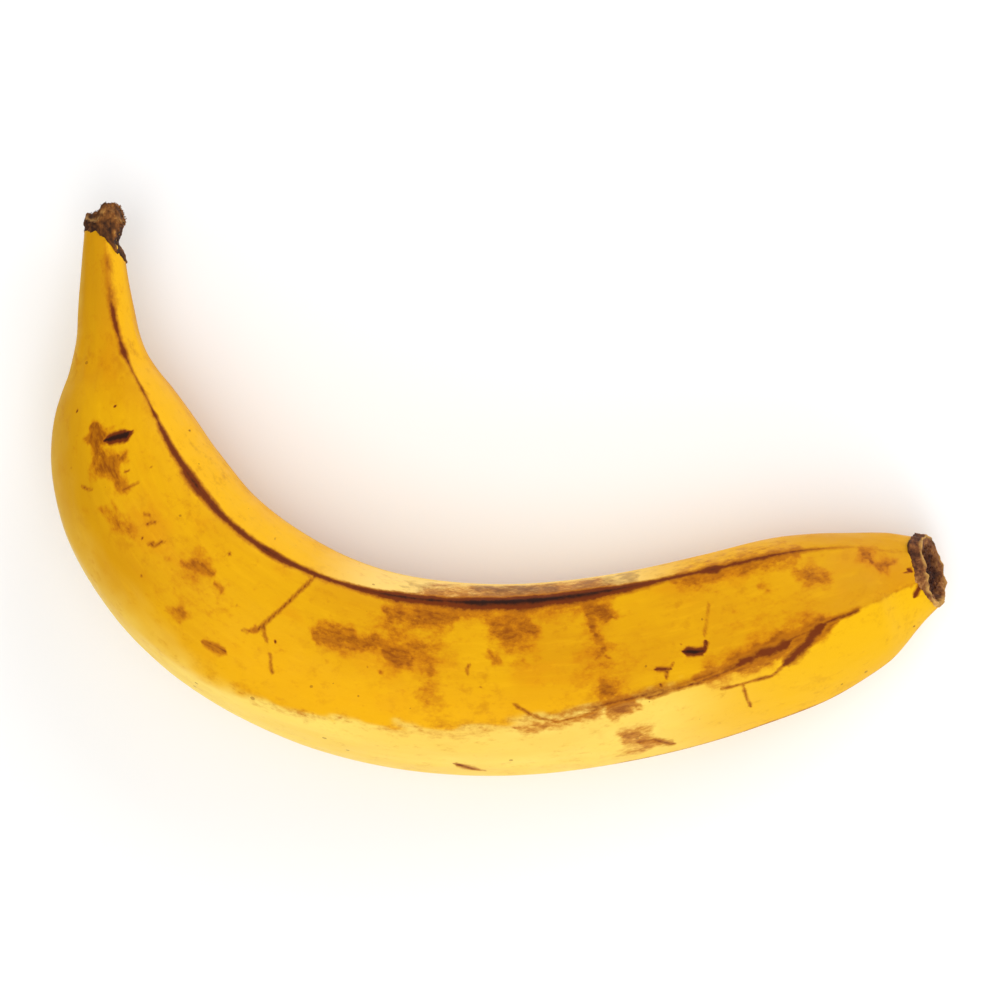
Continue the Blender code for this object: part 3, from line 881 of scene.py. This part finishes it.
def driedMaterial(name, tones, paleTone, fibre, extra, extraTone):
    # tones run from the painted shade of the folds to the painted highlight of the crests
    material, tree = newMaterial(name)

    def calc(operation, *values):
        return addNode(tree, "ShaderNodeMath", dict(enumerate(values)), operation=operation).outputs[0]

    place = addNode(tree, "ShaderNodeAttribute", attribute_name="straight").outputs["Vector"]
    spot = addNode(tree, "ShaderNodeMapping", {"Vector": place, "Scale": (1 / fibre, 1, 1)}).outputs[0]
    strands = addNode(tree, "ShaderNodeTexNoise", {"Vector": spot, "Scale": 1 / 0.5, "Detail": 5.0,
                      "Roughness": 0.65}).outputs["Fac"]
    blotch = addNode(tree, "ShaderNodeTexNoise", {"Vector": place, "Scale": 1 / 2.4, "Detail": 4.0,
                     "Roughness": 0.6}).outputs["Fac"]
    reliefShade = addNode(tree, "ShaderNodeAttribute", attribute_name="reliefShade").outputs["Fac"]
    noises = calc("ADD", calc("MULTIPLY", strands, 0.7), calc("MULTIPLY", blotch, 0.8))
    level = calc("ADD", calc("MULTIPLY", reliefShade, 0.6), noises)
    level = calc("MULTIPLY", calc("SUBTRACT", level, 0.55), 1.15)
    ramp = addNode(tree, "ShaderNodeValToRGB", {"Fac": level})
    stops = ramp.color_ramp.elements
    for i, tone in enumerate(tones):
        stop = stops[i] if i < 2 else stops.new(1)
        stop.position = i / (len(tones) - 1)
        stop.color = linear(tone)
    colour = mixColour(tree, addNode(tree, "ShaderNodeAttribute", attribute_name=extra).outputs["Fac"],
                       ramp.outputs["Color"], extraTone, "MULTIPLY")
    pale = addNode(tree, "ShaderNodeAttribute", attribute_name="pale").outputs["Fac"]
    colour = mixColour(tree, calc("MULTIPLY", pale, calc("MULTIPLY", blotch, 1.5)), colour, paleTone)
    height = calc("ADD", calc("MULTIPLY", strands, 0.7), calc("MULTIPLY", blotch, 0.3))
    bump = addNode(tree, "ShaderNodeBump", {"Strength": 0.9, "Distance": 0.35 * mm, "Height": height})
    rough = addNode(tree, "ShaderNodeMapRange", {"Value": blotch, "To Min": 0.62, "To Max": 0.86})
    skin = addNode(tree, "ShaderNodeBsdfPrincipled", {"Base Color": colour, "Roughness": rough.outputs[0],
                   "Normal": bump.outputs[0], "Specular IOR Level": 0.2})
    addNode(tree, "ShaderNodeOutputMaterial", {"Surface": skin.outputs[0]})
    return material


def stalkMaterial():
    # dried stalk tissue: shrunk fibrous bundles, matt, tan on the crests and nearly black in the folds, as
    # painted highlight and painted shade that follow the relief
    tones = ("#150A04", "#33190A", "#553010", "#7C4A1C", "#B07A36")
    return driedMaterial("driedStalkTissue", tones, "#C09050", 5.0, "tornEnd", "#E4D0B4")


def scarMaterial():
    # corky blossom scar: dry crumbly tissue, matt grey-brown with pale tan edges, painted shade in its dips
    # and in the crater's middle, and painted highlight on its bumps
    tones = ("#2A1207", "#4E2812", "#73421F", "#935E2E", "#C08C50")
    return driedMaterial("corkyBlossomScar", tones, "#D9A654", 2.0, "hollow", "#8A6E54")


def makeStage():
    bpy.ops.mesh.primitive_plane_add(size=6)
    ground = bpy.context.object
    ground.name = "paleFloor"
    material, tree = newMaterial("paleStudioFloor")
    paint = addNode(tree, "ShaderNodeBsdfPrincipled", {"Base Color": (0.96, 0.96, 0.96, 1), "Roughness": 0.9,
                    "Specular IOR Level": 0.1})
    addNode(tree, "ShaderNodeOutputMaterial", {"Surface": paint.outputs[0]})
    ground.data.materials.append(material)
    for name, size, power, place, aim in lamps:
        data = bpy.data.lights.new(name, "AREA")
        data.size = size
        data.energy = power
        lamp = bpy.data.objects.new(name, data)
        bpy.context.scene.collection.objects.link(lamp)
        lamp.location = place
        lamp.rotation_euler = (Vector(place) - Vector(aim)).to_track_quat("Z", "Y").to_euler()
    world = bpy.data.worlds.new("paleStudio")
    bpy.context.scene.world = world
    world.use_nodes = True
    world.node_tree.nodes["Background"].inputs["Color"].default_value = (1, 1, 1, 1)
    world.node_tree.nodes["Background"].inputs["Strength"].default_value = 0.55
    bpy.context.scene.view_settings.view_transform = "Standard"


lamps = [  # name, width, power, place, aim, all in metres and watts
    ("overheadSoftbox", 1.3, 7.4, (-0.1, -0.3, 1.25), (0, 0, 0)),
    ("outerSideGlow", 0.8, 3.4, (0.15, -0.9, 0.35), (0, 0, 0.02)),
    ("hollowSideFill", 0.9, 6.2, (0.6, 0.8, 0.5), (0, 0, 0.02)),
]

camera = {
    "lens": 100,
    "distance": 0.667,
    "aimBelow": 2.4 * mm,  # the view's middle lies this far towards the outer side from the box's middle
    "aimRight": -0.25 * mm,
}


def makeCamera():
    low, high = cadBox
    data = bpy.data.cameras.new("camera")
    data.lens = camera["lens"]
    obj = bpy.data.objects.new("camera", data)
    bpy.context.scene.collection.objects.link(obj)
    target = (low + high) / 2 + restTilt @ Vector((camera["aimRight"], -camera["aimBelow"], 0))
    turned = restTilt.to_4x4()
    turned.translation = target + restTilt @ Vector((0, 0, camera["distance"]))
    obj.matrix_world = turned
    bpy.context.scene.camera = obj


loftTree = makeLoftTree()
bitsTree = makeBitsTree()
shift = restShift(loftTree)
plantainPeel = makePeel(loftTree)
stalkStub = makeStub(loftTree)
blossomScar = makeScar(loftTree)
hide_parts("plantain")
for piece in (plantainPeel, stalkStub, blossomScar):
    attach(piece, "root")
makeStage()
makeCamera()

print("scene ready")
